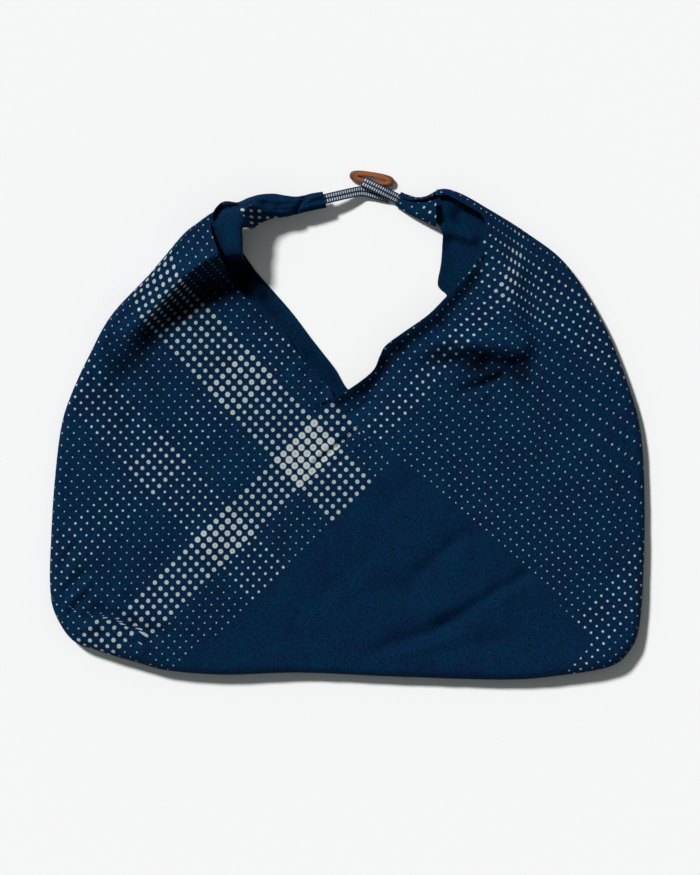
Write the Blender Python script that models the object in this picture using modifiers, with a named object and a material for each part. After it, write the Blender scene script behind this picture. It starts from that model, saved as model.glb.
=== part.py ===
"""A horn bag: two cloth layers folded into a flat hollow bag with a V-shaped mouth between two arms.

The bag lies on its back layer. +X runs along its width, +Y from its bottom to its strap and +Z up.
The arms end in gathered sleeves, which a woven tape and a slotted wooden toggle close.
All named sizes and tables are in millimetres, and to_metres turns them into Blender's units.
"""

import math

import bmesh
import bpy
import numpy as np
from mathutils.geometry import delaunay_2d_cdt

CLOTH = 1.5  # thickness of the indigo cloth
TAPE = 1.2  # thickness of the woven tape
GAP = 0.35  # left between pieces that are sewn to or rest on each other
CELL = 15.0  # spacing of the points on the open front cloth
BACK_CELL = 30.0  # the same on the flat back layer
SEAM_STEP, HEM_STEP = 12.0, 9.0  # spacing of the points along a seam and along an open hem
HORN_STEP = 5.0  # spacing along the outer fold where its radius is under TIGHT_RADIUS
TIGHT_RADIUS = 5.0
NEAREST = 1.6  # no point of a panel's inside lies nearer its edge than this
FOLD_STEPS = 3  # steps in each quarter turn of an outer fold
FOLD_END = 1.6  # the last row of points along the fold lies this many quarter turns in
LIP = 0.8  # how far the cloth goes on under the bag, as a share of the fold's radius
BLEND = 45.0  # the outer fold's own height has faded into the open cloth this far in

# The outer fold, from the left horn down, along the bottom and up to the right horn:
# x, y, radius of the fold in plan and how high it stands.
OUTER_FOLD = (
    (-115.5, 220.6, 2.2, 34), (-125, 217.6, 2.2, 38), (-137.5, 210, 2.6, 40), (-165, 188, 4, 40),
    (-196.5, 151, 6, 34), (-235, 110, 7, 22), (-257, 71, 7, 16), (-276, 30, 7, 13),
    (-286, -3, 7, 13), (-292.5, -57, 7, 13), (-296, -114, 7, 14), (-297, -160, 7, 15),
    (-292, -188, 7, 16), (-274, -215, 7, 16), (-246, -226, 7, 15), (-204.5, -238.5, 7, 14),
    (-178, -245, 7, 14), (-122.5, -249, 7, 14), (-46.5, -247, 7, 14), (49.5, -251, 7, 15),
    (158.5, -254, 8, 16), (214.5, -249.5, 8, 17), (262, -241, 8, 18), (281, -226, 8, 18),
    (291, -202, 8, 18), (295.5, -145, 8, 17), (296.5, -72, 8, 16), (292.5, -6, 8, 16),
    (279.5, 42, 8, 16), (255.5, 101, 8, 16), (219.5, 159, 7, 16), (178.5, 192, 6, 16),
    (136.5, 218, 3.4, 16), (115, 230, 2.6, 16), (99, 235.5, 2.4, 16), (89.7, 234.8, 2.4, 16),
)  # fmt: skip

# The front layer's hem at the mouth, down the left side to the bottom of the V: x, y.
LEFT_HEM = (
    (-116, 216), (-124, 213), (-132, 206), (-133.2, 196), (-130, 183), (-124.5, 163),
    (-112, 141), (-98.5, 125), (-67.5, 99), (-50.5, 73), (-31.5, 49), (-20, 38.5), (-13.5, 27.7),
)  # fmt: skip

# The same hem from there up the right side to the right horn: x, y.
RIGHT_HEM = (
    (-13.5, 27.7), (4.5, 37.5), (25.5, 54), (32.5, 69), (38.5, 79.5), (56.5, 93), (80.5, 110),
    (98.5, 128), (113.5, 144), (124.5, 156), (129.5, 168), (135.5, 185), (138.2, 198),
    (134, 210), (126, 215.5), (109.5, 224.5), (99, 229.8), (90, 229.4),
)  # fmt: skip

# Seams on the front, each from the middle of the bag outwards: x, y.
MIDDLE_SEAM = ((-13.5, 27.7), (10.5, -2), (47.5, -35))
LONG_SEAM = (
    (47.5, -35), (85.5, -68), (124.5, -99.5), (162.5, -132.5), (198.5, -167), (245.5, -212),
)  # fmt: skip
CORNER_SEAM = ((245.5, -212), (258, -224), (270.8, -237.4))
LEFT_SEAM = ((47.5, -35), (-22, -107), (-96, -180), (-176, -245.2))
WEDGE_SEAM = ((245.5, -212), (238.5, -225), (216, -249.3))

# Heights of the open front cloth, blended by distance: x, y, height of its middle, reach.
FRONT_HEIGHTS = (
    (-145, 120, 12, 45), (-110, 110, 12, 30), (-190, 70, 13, 60), (-200, -20, 16, 70),
    (-210, -150, 17, 70), (-60, 20, 14, 60), (-60, -100, 19, 80), (60, -160, 18, 80),
    (20, 20, 13, 40), (110, 0, 19, 80), (200, -80, 19, 80), (210, 60, 18, 70),
    (150, 130, 17, 50), (130, 195, 18, 30),
)  # fmt: skip

# Ridges (+) and troughs (-) of the front cloth: from x, y to x, y, height, half width.
FRONT_FOLDS = (
    (-250, -186, -196, -212, -5.0, 8), (-244, -172, -188, -198, 3.5, 9),
    (-276, -128, -240, -172, -3.0, 8), (-262, -118, -226, -164, 2.5, 8),
    (178, -152, 97, -200, -3.5, 10), (97, -200, 37, -226, -3.0, 10),
    (160, -165, 90, -186, 3.0, 12), (120, -110, 60, -166, -2.5, 12),
    (84, 62, 140, 65, -3.0, 9), (140, 65, 179, 58, -4.2, 9), (92, 84, 172, 82, 6.0, 11),
    (178, 56, 132, 36, -3.5, 7), (182, 152, 184, 68, -4.0, 8), (166, 150, 168, 92, 2.5, 9),
    (-258, 96, -216, 4, -3.0, 13), (-232, 100, -196, 12, 2.5, 14),
    (22, 22, 1, 6, -2.5, 8), (28, 38, 34, 60, -3.0, 9),
    (200, 160, 226, 100, 2.5, 14), (-120, -60, -160, -190, 2.5, 20),
)  # fmt: skip

# The left arm stands up from the bag. Its crest, from the horn to the bag's left side: x, y,
# height and how far in plan its steep side reaches towards the mouth.
ARM_CREST = (
    (-113, 176, 54, 36), (-127, 170, 59, 37), (-146, 159, 61, 36), (-162.6, 148, 60, 35),
    (-178.2, 133, 55, 34), (-198, 113.1, 47, 34), (-215.7, 95.5, 38, 34), (-233.3, 77.8, 28, 34),
    (-249, 62, 20, 32),
)  # fmt: skip
ARM_END = 36.0  # the crest runs out over this length at the bag's left side
ARM_ROWS = (-9, 0, 8, 17, 26, 35)  # rows of points beside the crest, + towards the mouth
ARM_STEP = 9.0  # spacing of the points along them

# The back layer's own edges where it isn't under the outer fold: x, y, height of its middle.
BACK_LEFT_TOP = ((-134.5, 202, 0.75), (-128, 188, 0.75), (-117, 179, 0.75), (-105, 173, 0.75))
BACK_MOUTH = (
    (-105, 173, 0.75), (-97, 161.5, 0.75), (-88.8, 150.5, 0.75), (-57.5, 115, 0.75),
    (-35.5, 86, 0.75), (-13.5, 58, 0.75), (4.5, 34, 0.75), (34, 52, 0.75), (66, 84, 0.75),
    (99, 124, 0.75), (90.5, 140, 0.75), (93.5, 161, 2.5), (95.5, 187, 6), (93.5, 195, 7.5),
    (90, 202, 7.5), (84, 206, 7.5), (83, 221, 8), (91, 226, 8.5),
)  # fmt: skip
BACK_RISE = ((95, 225, 8.5, 26), (128, 208, 7.0, 20))  # x, y, height, reach of the right arm's lift

# Sections of the sleeves. The cloth wraps round an ellipse across the sleeve's run: x and y of
# its crown, the crown's height, reach to the left and right of the run, half height, the angles
# where the wrap starts and ends (0 right, 90 up, 180 left) and the run's heading.
LEFT_SLEEVE = (
    (-106.0, 151.2, 2.9, 12.0, 9.0, 0.01, 180, 0, 90),
    (-106.5, 160.0, 22.0, 14.5, 5.0, 15.0, 178, 0, 90),
    (-106.5, 172.0, 43.0, 20.5, 2.6, 27.0, 178, -5, 90),
    (-106.5, 188.0, 51.0, 24.5, 2.2, 34.0, 178, -10, 90),
    (-106.8, 199.0, 51.5, 24.0, 2.2, 34.0, 180, -10, 76),
    (-104.0, 206.5, 48.0, 13.0, 5.5, 29.0, 180, -12, 48),
    (-96.0, 213.0, 42.0, 14.5, 13.0, 23.0, 196, -14, 15),
    (-80.0, 219.0, 34.0, 11.5, 14.5, 17.0, 200, -16, 4),
    (-64.0, 219.5, 25.0, 9.5, 11.5, 11.0, 202, -18, 0),
    (-49.0, 220.0, 20.0, 7.0, 8.5, 7.5, 204, -20, 4),
    (-34.0, 223.5, 16.5, 7.0, 8.5, 5.5, 206, -22, 12),
    (-23.0, 225.8, 13.5, 6.6, 7.4, 4.2, 208, -24, 14),
)  # fmt: skip
RIGHT_SLEEVE = (
    (50.8, 226.5, 7.6, 6.6, 6.6, 3.1, 445, 95, -22),
    (59.0, 222.3, 9.5, 7.6, 7.6, 4.2, 440, 98, -24),
    (67.0, 218.8, 12.5, 8.8, 8.8, 5.7, 420, 104, -16),
    (77.5, 216.4, 16.5, 12.0, 12.0, 7.7, 400, 112, -6),
    (88.6, 216.0, 19.5, 17.6, 17.6, 9.2, 385, 114, 0),
)  # fmt: skip

# The left tape runs flat from its sleeve to its end under the right one: x, y, height of its
# middle and heading.
TAPE_WIDTH = 10.0
LEFT_TAPE = (
    (-28, 224.4, 10.3, 14), (-20, 226.5, 10.1, 14), (-8, 229.5, 9.2, 14), (4, 232.5, 7.8, 12),
    (14, 233.2, 6.2, 0), (24, 231.5, 4.8, -10), (34, 229.2, 3.4, -12), (42, 227.4, 2.4, -12),
)  # fmt: skip

TOGGLE_LENGTH, TOGGLE_WIDTH, TOGGLE_DEPTH = 45.2, 13.0, 7.5
TOGGLE_POWER = 2.8  # 2 would make its outline an ellipse, and more makes it squarer
TOGGLE_EDGE = 2.4  # radius of its rounded edges
SLOT_LENGTH, SLOT_WIDTH = 31.0, 4.4
SLOT_POWER = 1.7  # under 2, so the slot is pointed at its ends
TOGGLE_AT = (24.4, 246.8)
TOGGLE_TURN = -9.0  # degrees about +Z

# The right tape leaves its sleeve, lies over the toggle's near side and doubles back under
# itself: run along the tape and height of its middle.
RIGHT_TAPE_FOOT = (56.0, 223.8)
RIGHT_TAPE_HEADING = 154.0
RIGHT_TAPE = (
    (0, 4.5), (6, 4.7), (13, 6.8), (21, 10.4), (29, 12.2), (38, 12.7), (45, 12.5),
    (48.4, 11.7), (49.3, 10.4), (48.4, 9.1), (45, 8.5), (38, 8.4), (33, 8.4),
)  # fmt: skip


def to_metres(points):
    return np.asarray(points, float) * 0.001


def through(rows, step):
    """A smooth curve through the rows (Catmull-Rom), sampled at about this step in x and y."""
    rows = np.asarray(rows, float)
    padded = np.vstack((2 * rows[0] - rows[1], rows, 2 * rows[-1] - rows[-2]))
    dense = []
    for i in range(1, len(padded) - 2):
        a, b, c, d = padded[i - 1 : i + 3]
        for t in np.linspace(0, 1, 12, endpoint=False):
            dense.append(
                0.5 * (2 * b + (c - a) * t + (2 * a - 5 * b + 4 * c - d) * t**2
                       + (3 * b - a - 3 * c + d) * t**3)
            )  # fmt: skip
    dense.append(rows[-1])
    dense = np.array(dense)
    length = np.append(0, np.cumsum(np.hypot(*np.diff(dense[:, :2], axis=0).T)))
    count = max(2, round(length[-1] / step) + 1)
    wanted = np.linspace(0, length[-1], count)
    return np.stack([np.interp(wanted, length, column) for column in dense.T], axis=1)


FOLD_LINE = through(OUTER_FOLD, 2.0)
ARM_LINE = through(ARM_CREST, 3.0)


class Beside:
    """The nearest place on a line to each plan point, and the distance to the line's left."""

    def __init__(self, points, line):
        points = np.asarray(points, float)[:, :2]
        a, b = line[:-1, :2], line[1:, :2]
        run = b - a
        share = ((points[:, None] - a) * run).sum(2) / (run**2).sum(1)
        share = np.clip(share, 0, 1)
        foot = a + share[..., None] * run
        gap = points[:, None] - foot
        best = np.argmin((gap**2).sum(2), axis=1)
        each = np.arange(len(points))
        self.foot, gap = foot[each, best], gap[each, best]
        normal = np.stack((-run[best, 1], run[best, 0]), axis=1)
        normal /= np.linalg.norm(normal, axis=1)[:, None]
        self.distance = np.hypot(*gap.T) * np.where((gap * normal).sum(1) < 0, -1, 1)
        on_line = np.abs(self.distance) < 1e-6
        away = gap / np.where(on_line, 1, self.distance)[:, None]
        self.inward = np.where(on_line[:, None], normal, away)
        t = share[each, best][:, None]
        self.along = best + t[:, 0]
        self.sizes = (line[best, 2:4] * (1 - t) + line[best + 1, 2:4] * t).T

    def at(self, distance):
        return self.foot + self.inward * distance[:, None]


class Fold(Beside):
    """The nearest place on the outer fold to each plan point, with the fold's size there."""

    def __init__(self, points):
        super().__init__(points, FOLD_LINE)
        self.radius, self.rise = self.sizes
        self.quarter = math.pi / 4 * (self.radius + self.rise / 2)  # length of a quarter turn


def to_cloth(points):
    """Plan points of the bag, moved to where they are on the cloth before its edge is rolled."""
    fold = Fold(points)
    d, r, q = fold.distance, fold.radius, fold.quarter
    rolled = q * np.arccos(np.clip(1 - d / r, 0, 1)) / (math.pi / 2)
    open_cloth = q + (d - r) * (BLEND - q) / (BLEND - r)
    return fold.at(np.where(d < r, rolled, np.where(d < BLEND, open_cloth, d)))


def on_arm(plan, z):
    """The cloth's height z, raised to the left arm's crest and down its steep side."""
    arm = Beside(plan, ARM_LINE)
    crest, width = arm.sizes
    share = np.clip(arm.distance / width, 0, 1) ** 0.6
    standing = 1 - share * share * (3 - 2 * share)
    left = (len(ARM_LINE) - 1 - arm.along) * 3.0
    return z + np.maximum(crest - z, 0) * standing * np.clip(left / ARM_END, 0, 1)


def open_height(plan):
    """Height of the front cloth's middle away from the outer fold."""
    heights = np.asarray(FRONT_HEIGHTS, float)
    reach2 = ((plan[:, None] - heights[:, :2]) ** 2).sum(2) / heights[:, 3] ** 2
    weight = np.exp(-reach2) + 1e-4
    z = (weight * heights[:, 2]).sum(1) / weight.sum(1)
    for x0, y0, x1, y1, height, half_width in FRONT_FOLDS:
        a, run = np.array((x0, y0)), np.array((x1 - x0, y1 - y0))
        t = np.clip(((plan - a) * run).sum(1) / (run**2).sum(), 0, 1)
        away2 = ((plan - a - t[:, None] * run) ** 2).sum(1) / half_width**2
        z += height * np.exp(-away2)
    return on_arm(plan, z)


def draped(cloth):
    """Cloth points before rolling, as points of the front layer's middle surface."""
    fold = Fold(cloth)
    q, r, quarter = fold.distance, fold.radius, fold.quarter
    angle = np.clip(q / quarter, -1, 1) * math.pi / 2
    beyond = np.abs(q) - quarter
    flat = np.where(q > 0, r + beyond * (BLEND - r) / (BLEND - quarter), r + beyond)
    inwards = np.where(np.abs(q) < quarter, r * (1 - np.cos(angle)), flat)
    inwards = np.where(q > BLEND, q, inwards)
    plan = fold.at(inwards)
    z = CLOTH / 2 + fold.rise / 2 * (1 + np.sin(angle))
    share = np.clip((inwards - r) / (BLEND - r), 0, 1) * (q > quarter)
    share = share * share * (3 - 2 * share)
    z += share * (open_height(plan) - z)
    return np.column_stack((plan, z))


def lip_distance(fold):
    return -(fold.quarter + LIP * fold.radius)


def towards_lip(point):
    """Points from the outer fold nearest this one to the end of its lip, on the flat cloth."""
    fold = Fold([point[:2]])
    end = lip_distance(fold)[0]
    return np.vstack([fold.at(np.array([q])) for q in np.linspace(0, end, 2 * FOLD_STEPS)])


def fold_run(start, end, level):
    """Cloth points along the outer fold between those nearest start and end, at each level."""
    near = [int(((FOLD_LINE[:, :2] - p[:2]) ** 2).sum(1).argmin()) for p in (start, end)]
    line = FOLD_LINE[min(near) : max(near) + 1]
    line = line if near[0] < near[1] else line[::-1]
    spaced, last = [line[0]], line[0]
    for row in line[1:-1]:
        step = HORN_STEP if row[2] < TIGHT_RADIUS else SEAM_STEP
        if math.dist(row[:2], last[:2]) >= step:
            spaced.append(row)
            last = row
    spaced = np.array(spaced[1:])
    fold = Fold(spaced)
    return fold.at(level(fold))


def shifted(line, gap):
    """The line moved to its left by the gap."""
    line = np.asarray(line, float)[:, :2]
    run = np.gradient(line, axis=0)
    run /= np.linalg.norm(run, axis=1)[:, None]
    return line + gap * np.column_stack((-run[:, 1], run[:, 0]))


def inside(points, loop):
    """Which points lie inside the closed loop."""
    x, y = points.T
    hits = np.zeros(len(points), bool)
    for (x0, y0), (x1, y1) in zip(loop, np.roll(loop, -1, axis=0)):
        if y0 != y1:
            crosses = (y0 > y) != (y1 > y)
            hits ^= crosses & (x < (x1 - x0) * (y - y0) / (y1 - y0) + x0)
    return hits


def clear_of(points, others, distance):
    if not len(others):
        return points
    away2 = ((points[:, None] - others[None]) ** 2).sum(2).min(axis=1)
    return points[away2 > distance**2]


def triangulated(loop, extra, cell=CELL):
    """Triangles that fill the loop, with the extra points and a regular field between them."""
    loop = np.asarray(loop)
    low, high = loop.min(axis=0), loop.max(axis=0)
    rows = np.arange(low[1], high[1], cell * 0.866)
    starts = [low[0] + i % 2 * cell / 2 for i in range(len(rows))]
    field = [(x, y) for start, y in zip(starts, rows) for x in np.arange(start, high[0], cell)]
    field = np.array(field)
    if len(extra):
        extra = clear_of(extra[inside(extra, loop)], loop, NEAREST)
        field = clear_of(field, extra, cell * 0.62)
        fold = Fold(field)
        field = field[fold.distance > fold.quarter]
    field = clear_of(field[inside(field, loop)], loop, cell * 0.5)
    points = np.vstack((loop, extra, field)) if len(extra) else np.vstack((loop, field))
    edges = [(i, (i + 1) % len(loop)) for i in range(len(loop))]
    verts, _, faces, *_ = delaunay_2d_cdt([tuple(p) for p in points], edges, [], 1, 1e-5)
    return np.array([tuple(v) for v in verts]), [tuple(f) for f in faces]


def collection_of(name):
    collection = bpy.data.collections.new(name)
    bpy.context.scene.collection.children.link(collection)
    return collection


def material_of(name, colour, roughness):
    material = bpy.data.materials.new(name)
    material.use_nodes = True
    shader = material.node_tree.nodes["Principled BSDF"]
    shader.inputs["Base Color"].default_value = (*colour, 1)
    shader.inputs["Roughness"].default_value = roughness
    return material


def sheet(name, points, faces, thickness, material, collection):
    """A cloth object from the points of its middle surface, in millimetres."""
    mesh = bpy.data.meshes.new(name)
    mesh.from_pydata(to_metres(points).tolist(), [], faces)
    mesh.materials.append(material)
    mesh.shade_smooth()
    made = bpy.data.objects.new(name, mesh)
    collection.objects.link(made)
    solidify = made.modifiers.new("Thickness", "SOLIDIFY")
    solidify.thickness = thickness * 0.001
    solidify.offset = 0
    solidify.use_even_offset = True
    return made


def front_panel(name, loop, material, collection, rolled, creases=()):
    """A panel of the front layer.

    rolled gives the two ends of its stretch of the outer fold. creases are lines of plan points
    that the cloth bends along.
    """
    levels = [i / FOLD_STEPS for i in range(-FOLD_STEPS, FOLD_STEPS + 1)]
    levels.append(FOLD_END)
    extra = np.vstack([fold_run(*rolled, lambda fold, s=s: s * fold.quarter) for s in levels])
    for line in creases:
        line = to_cloth(line)
        extra = np.vstack((extra, clear_of(line, extra, NEAREST * 3)))
    verts, faces = triangulated(loop, extra)
    return sheet(name, draped(verts), faces, CLOTH, material, collection)


def hem_line(rows):
    return to_cloth(through(rows, HEM_STEP))


def seam_line(rows, side):
    """A seam on the flat cloth, moved half the gap to one side (1 left, -1 right of its run)."""
    return shifted(to_cloth(through(rows, SEAM_STEP)), side * GAP / 2)


def seam_over_fold(rows, side):
    """A seam that ends at the outer fold, carried on over the fold to the end of its lip."""
    line = np.vstack((to_cloth(through(rows, SEAM_STEP))[:-1], towards_lip(rows[-1])))
    return shifted(line, side * GAP / 2)


def lip_run(start, end):
    return fold_run(start, end, lip_distance)


def make_front(dotted, plain, collection):
    left_out = seam_over_fold(LEFT_SEAM, -1)
    loop = np.vstack((
        hem_line(LEFT_HEM)[:-1],
        seam_line(MIDDLE_SEAM, -1)[:-1],
        left_out,
        lip_run(LEFT_SEAM[-1], OUTER_FOLD[0]),
        towards_lip(OUTER_FOLD[0])[::-1],
    ))  # fmt: skip
    crest = through(ARM_CREST, ARM_STEP)
    creases = [shifted(crest, across) for across in ARM_ROWS]
    rolled = (LEFT_SEAM[-1], OUTER_FOLD[0])
    front_panel("front_left_panel", loop, dotted, collection, rolled, creases)
    corner_out = seam_over_fold(CORNER_SEAM, 1)
    loop = np.vstack((
        hem_line(RIGHT_HEM)[::-1][:-1],
        seam_line(MIDDLE_SEAM, 1)[:-1],
        seam_line(LONG_SEAM, 1)[:-1],
        corner_out,
        lip_run(CORNER_SEAM[-1], OUTER_FOLD[-1]),
        towards_lip(OUTER_FOLD[-1])[::-1],
    ))  # fmt: skip
    front_panel("front_right_panel", loop, dotted, collection, (CORNER_SEAM[-1], OUTER_FOLD[-1]))
    loop = np.vstack((
        seam_line(LONG_SEAM, -1)[:-1],
        seam_over_fold(WEDGE_SEAM, -1),
        lip_run(WEDGE_SEAM[-1], LEFT_SEAM[-1]),
        seam_over_fold(LEFT_SEAM, 1)[::-1][:-1],
    ))  # fmt: skip
    front_panel("lower_panel", loop, plain, collection, (WEDGE_SEAM[-1], LEFT_SEAM[-1]))
    loop = np.vstack((
        seam_over_fold(CORNER_SEAM, -1)[:-1],
        lip_run(CORNER_SEAM[-1], WEDGE_SEAM[-1]),
        seam_over_fold(WEDGE_SEAM, 1)[::-1][:-1],
    ))  # fmt: skip
    front_panel("corner_panel", loop, dotted, collection, (CORNER_SEAM[-1], WEDGE_SEAM[-1]))


def make_back(plain, collection):
    """The back layer: flat on the floor, inside the lips of the front's outer fold."""
    top_left, top_right = BACK_LEFT_TOP[0], BACK_MOUTH[-1]

    def beside_lip(fold):
        return fold.radius * (1 + LIP) + 1.5 * GAP

    rim = fold_run(top_left, top_right, beside_lip)
    mouth = np.vstack((through(BACK_LEFT_TOP, HEM_STEP)[:-1], through(BACK_MOUTH, HEM_STEP)))
    loop = np.vstack((rim, mouth[::-1, :2]))
    verts, faces = triangulated(loop, np.empty((0, 2)), BACK_CELL)
    away2 = ((verts[:, None] - mouth[None, :, :2]) ** 2).sum(2)
    z = np.full(len(verts), CLOTH / 2)
    for x, y, height, reach in BACK_RISE:
        lift = np.exp(-((verts[:, 0] - x) ** 2 + (verts[:, 1] - y) ** 2) / reach**2)
        z = np.maximum(z, CLOTH / 2 + height * lift)
    nearest = away2.argmin(axis=1)
    z = np.where(away2.min(axis=1) < 1, np.maximum(z, mouth[nearest, 2]), z)
    sheet("back_panel", np.column_stack((verts, z)), faces, CLOTH, plain, collection)


def sleeve(name, rows, across, material, collection):
    """A sheet wrapped round the elliptical sections that the rows give."""
    stations = through(rows, 7.0)
    points, faces = [], []
    for x, y, crown, left, right, half, start, end, heading in stations:
        turn = math.radians(heading)
        for angle in np.radians(np.linspace(start, end, across)):
            reach = (right if math.cos(angle) > 0 else left) * math.cos(angle)
            z = crown - half + half * math.sin(angle)
            points.append((x + reach * math.sin(turn), y - reach * math.cos(turn), z))
    for i in range(len(stations) - 1):
        for j in range(across - 1):
            k = i * across + j
            faces.append((k, k + 1, k + 1 + across, k + across))
    return sheet(name, points, faces, CLOTH, material, collection)


def ribbon(name, centres, headings, width, material, collection):
    """A tape along its centres, with its width level and square to each heading in degrees."""
    points, faces = [], []
    for (x, y, z), heading in zip(centres, headings):
        turn = math.radians(heading)
        for reach in (-width / 2, 0, width / 2):
            points.append((x - reach * math.sin(turn), y + reach * math.cos(turn), z))
    for i in range(len(centres) - 1):
        for j in (0, 1):
            faces.append((3 * i + j, 3 * i + j + 1, 3 * i + j + 4, 3 * i + j + 3))
    return sheet(name, points, faces, TAPE, material, collection)


def make_tapes(woven, collection):
    path = through(LEFT_TAPE, 4.0)
    ribbon("left_tape", path[:, :3], path[:, 3], TAPE_WIDTH, woven, collection)
    run = through(RIGHT_TAPE, 2.2)
    turn = math.radians(RIGHT_TAPE_HEADING)
    x, y = RIGHT_TAPE_FOOT
    centres = [(x + s * math.cos(turn), y + s * math.sin(turn), z) for s, z in run]
    headings = [RIGHT_TAPE_HEADING] * len(centres)
    ribbon("right_tape", centres, headings, TAPE_WIDTH, woven, collection)


def meshed(curve):
    """The curve's object as a closed mesh object, with its caps welded to its sides."""
    evaluated = curve.evaluated_get(bpy.context.evaluated_depsgraph_get())
    mesh = bpy.data.meshes.new_from_object(evaluated)
    shape = bmesh.new()
    shape.from_mesh(mesh)
    bmesh.ops.remove_doubles(shape, verts=shape.verts, dist=1e-5)
    bmesh.ops.recalc_face_normals(shape, faces=shape.faces)
    shape.to_mesh(mesh)
    shape.free()
    made = bpy.data.objects.new(curve.name, mesh)
    made.matrix_world = curve.matrix_world
    bpy.data.objects.remove(curve)
    return made


def oval(length, width, power, count):
    """Points round a superellipse."""
    angles = np.linspace(0, 2 * math.pi, count, endpoint=False)
    cos, sin = np.cos(angles), np.sin(angles)
    x = length / 2 * np.sign(cos) * np.abs(cos) ** (2 / power)
    y = width / 2 * np.sign(sin) * np.abs(sin) ** (2 / power)
    return np.column_stack((x, y, 0 * x, 0 * x))


def flat_shape(name, outline, depth, edge, collection):
    """A closed object of an outline's shape, with its edges rounded."""
    curve = bpy.data.curves.new(name, "CURVE")
    curve.dimensions, curve.fill_mode = "2D", "BOTH"
    curve.extrude = (depth / 2 - edge) * 0.001
    curve.bevel_depth, curve.bevel_resolution = edge * 0.001, 3
    line = curve.splines.new("POLY")
    line.points.add(len(outline) - 1)
    line.points.foreach_set("co", to_metres(outline).ravel())
    line.use_cyclic_u = True
    flat = bpy.data.objects.new(name + "_outline", curve)
    collection.objects.link(flat)
    shape = meshed(flat)
    shape.name = name
    collection.objects.link(shape)
    shape.location = to_metres((*TOGGLE_AT, TOGGLE_DEPTH / 2))
    shape.rotation_euler.z = math.radians(TOGGLE_TURN)
    return shape


def make_toggle(wood, collection, cutters):
    """A bar with rounded edges and a long slot, pointed at its ends."""
    inner = (TOGGLE_LENGTH - 2 * TOGGLE_EDGE, TOGGLE_WIDTH - 2 * TOGGLE_EDGE)
    bar = flat_shape("toggle", oval(*inner, TOGGLE_POWER, 36), TOGGLE_DEPTH, TOGGLE_EDGE, collection)
    bar.data.materials.append(wood)
    bar.data.shade_smooth()
    bar.data.set_sharp_from_angle(angle=math.radians(50))
    outline = oval(SLOT_LENGTH, SLOT_WIDTH, SLOT_POWER, 24)
    slot = flat_shape("slot_cutter", outline, 3 * TOGGLE_DEPTH, 0, cutters)
    slot.hide_render, slot.display_type = True, "WIRE"
    cut = bar.modifiers.new("Slot", "BOOLEAN")
    cut.object, cut.operation = slot, "DIFFERENCE"


def main():
    for old in list(bpy.data.objects):
        bpy.data.objects.remove(old)
    bag, cutters = collection_of("tsuno_bag"), collection_of("cutters")
    dotted = material_of("dotted indigo cloth", (0.012, 0.030, 0.055), 0.9)
    plain = material_of("plain indigo cloth", (0.006, 0.018, 0.040), 0.9)
    woven = material_of("checked tape", (0.15, 0.17, 0.20), 0.85)
    wood = material_of("toggle wood", (0.40, 0.15, 0.05), 0.35)
    make_front(dotted, plain, bag)
    make_back(plain, bag)
    sleeve("left_sleeve", LEFT_SLEEVE, 13, plain, bag)
    sleeve("right_sleeve", RIGHT_SLEEVE, 17, dotted, bag)
    make_tapes(woven, bag)
    make_toggle(wood, bag, cutters)


main()
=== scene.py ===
"""Dresses the horn bag: indigo panels with their folds, hems and dots, arms, woven tape and toggle.

The cloth is laid out flat in millimetres, rolled round the bag's outer fold, given its folds and
creases, and turned into metres at the end. +X runs along the bag's width, +Y from its bottom to
its strap, +Z up.
"""

import math
from functools import partialmethod

import bpy
import numpy as np
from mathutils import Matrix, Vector
from mathutils.geometry import delaunay_2d_cdt


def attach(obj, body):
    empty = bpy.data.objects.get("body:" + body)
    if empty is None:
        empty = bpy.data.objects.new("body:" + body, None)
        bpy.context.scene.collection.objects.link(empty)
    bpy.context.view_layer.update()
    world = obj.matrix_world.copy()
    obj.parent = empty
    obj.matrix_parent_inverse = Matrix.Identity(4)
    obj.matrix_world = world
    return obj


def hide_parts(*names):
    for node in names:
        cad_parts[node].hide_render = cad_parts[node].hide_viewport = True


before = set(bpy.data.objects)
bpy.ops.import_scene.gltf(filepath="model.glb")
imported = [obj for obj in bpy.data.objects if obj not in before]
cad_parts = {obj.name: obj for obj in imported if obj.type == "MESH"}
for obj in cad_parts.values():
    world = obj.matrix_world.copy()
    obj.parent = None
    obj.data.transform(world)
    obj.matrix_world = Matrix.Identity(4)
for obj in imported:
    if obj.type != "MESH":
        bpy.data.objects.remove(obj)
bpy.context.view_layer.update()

# fmt: off
CLOTH = 1.3  # thickness of the indigo cloth
TAPE = 1.1  # thickness of the woven tape
CELL, BACK_CELL = 2.6, 3.2  # spacing of the points on the front's cloth and on the back's
EDGE_STEP = 2.4  # spacing of the points along hems, seams and the outer fold
SLEEVE_STEP, TAPE_STEP = 1.4, 0.6  # spacing of the points along the sleeves and the tapes
FOLD_STEP, ARM_STEP, TUCK_STEP, HEM_STEP = 2.0, 3.0, 3.0, 1.0  # and along lines to measure from
ROUND_LEFT, ROUND_RIGHT, ACROSS_TAPE = 61, 65, 9  # points round each sleeve and across a tape
SMOOTH_BELOW = 50.0  # degrees: sharper edges than this stay sharp
LIP = 0.8  # how far the cloth goes on under the bag, as a share of the fold's radius
BLEND = 45.0  # the outer fold's own height has faded into the open cloth this far in
CREASE_FROM = 10.0  # the creases are whole from this far inside the outer fold
UNEVEN = ((14, 3, 0.3), (30, 5, 0.25))  # bumps of the open cloth: size, seed, height
UNEVEN_AT = 12.0  # height of the cloth at which they are whole

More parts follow.
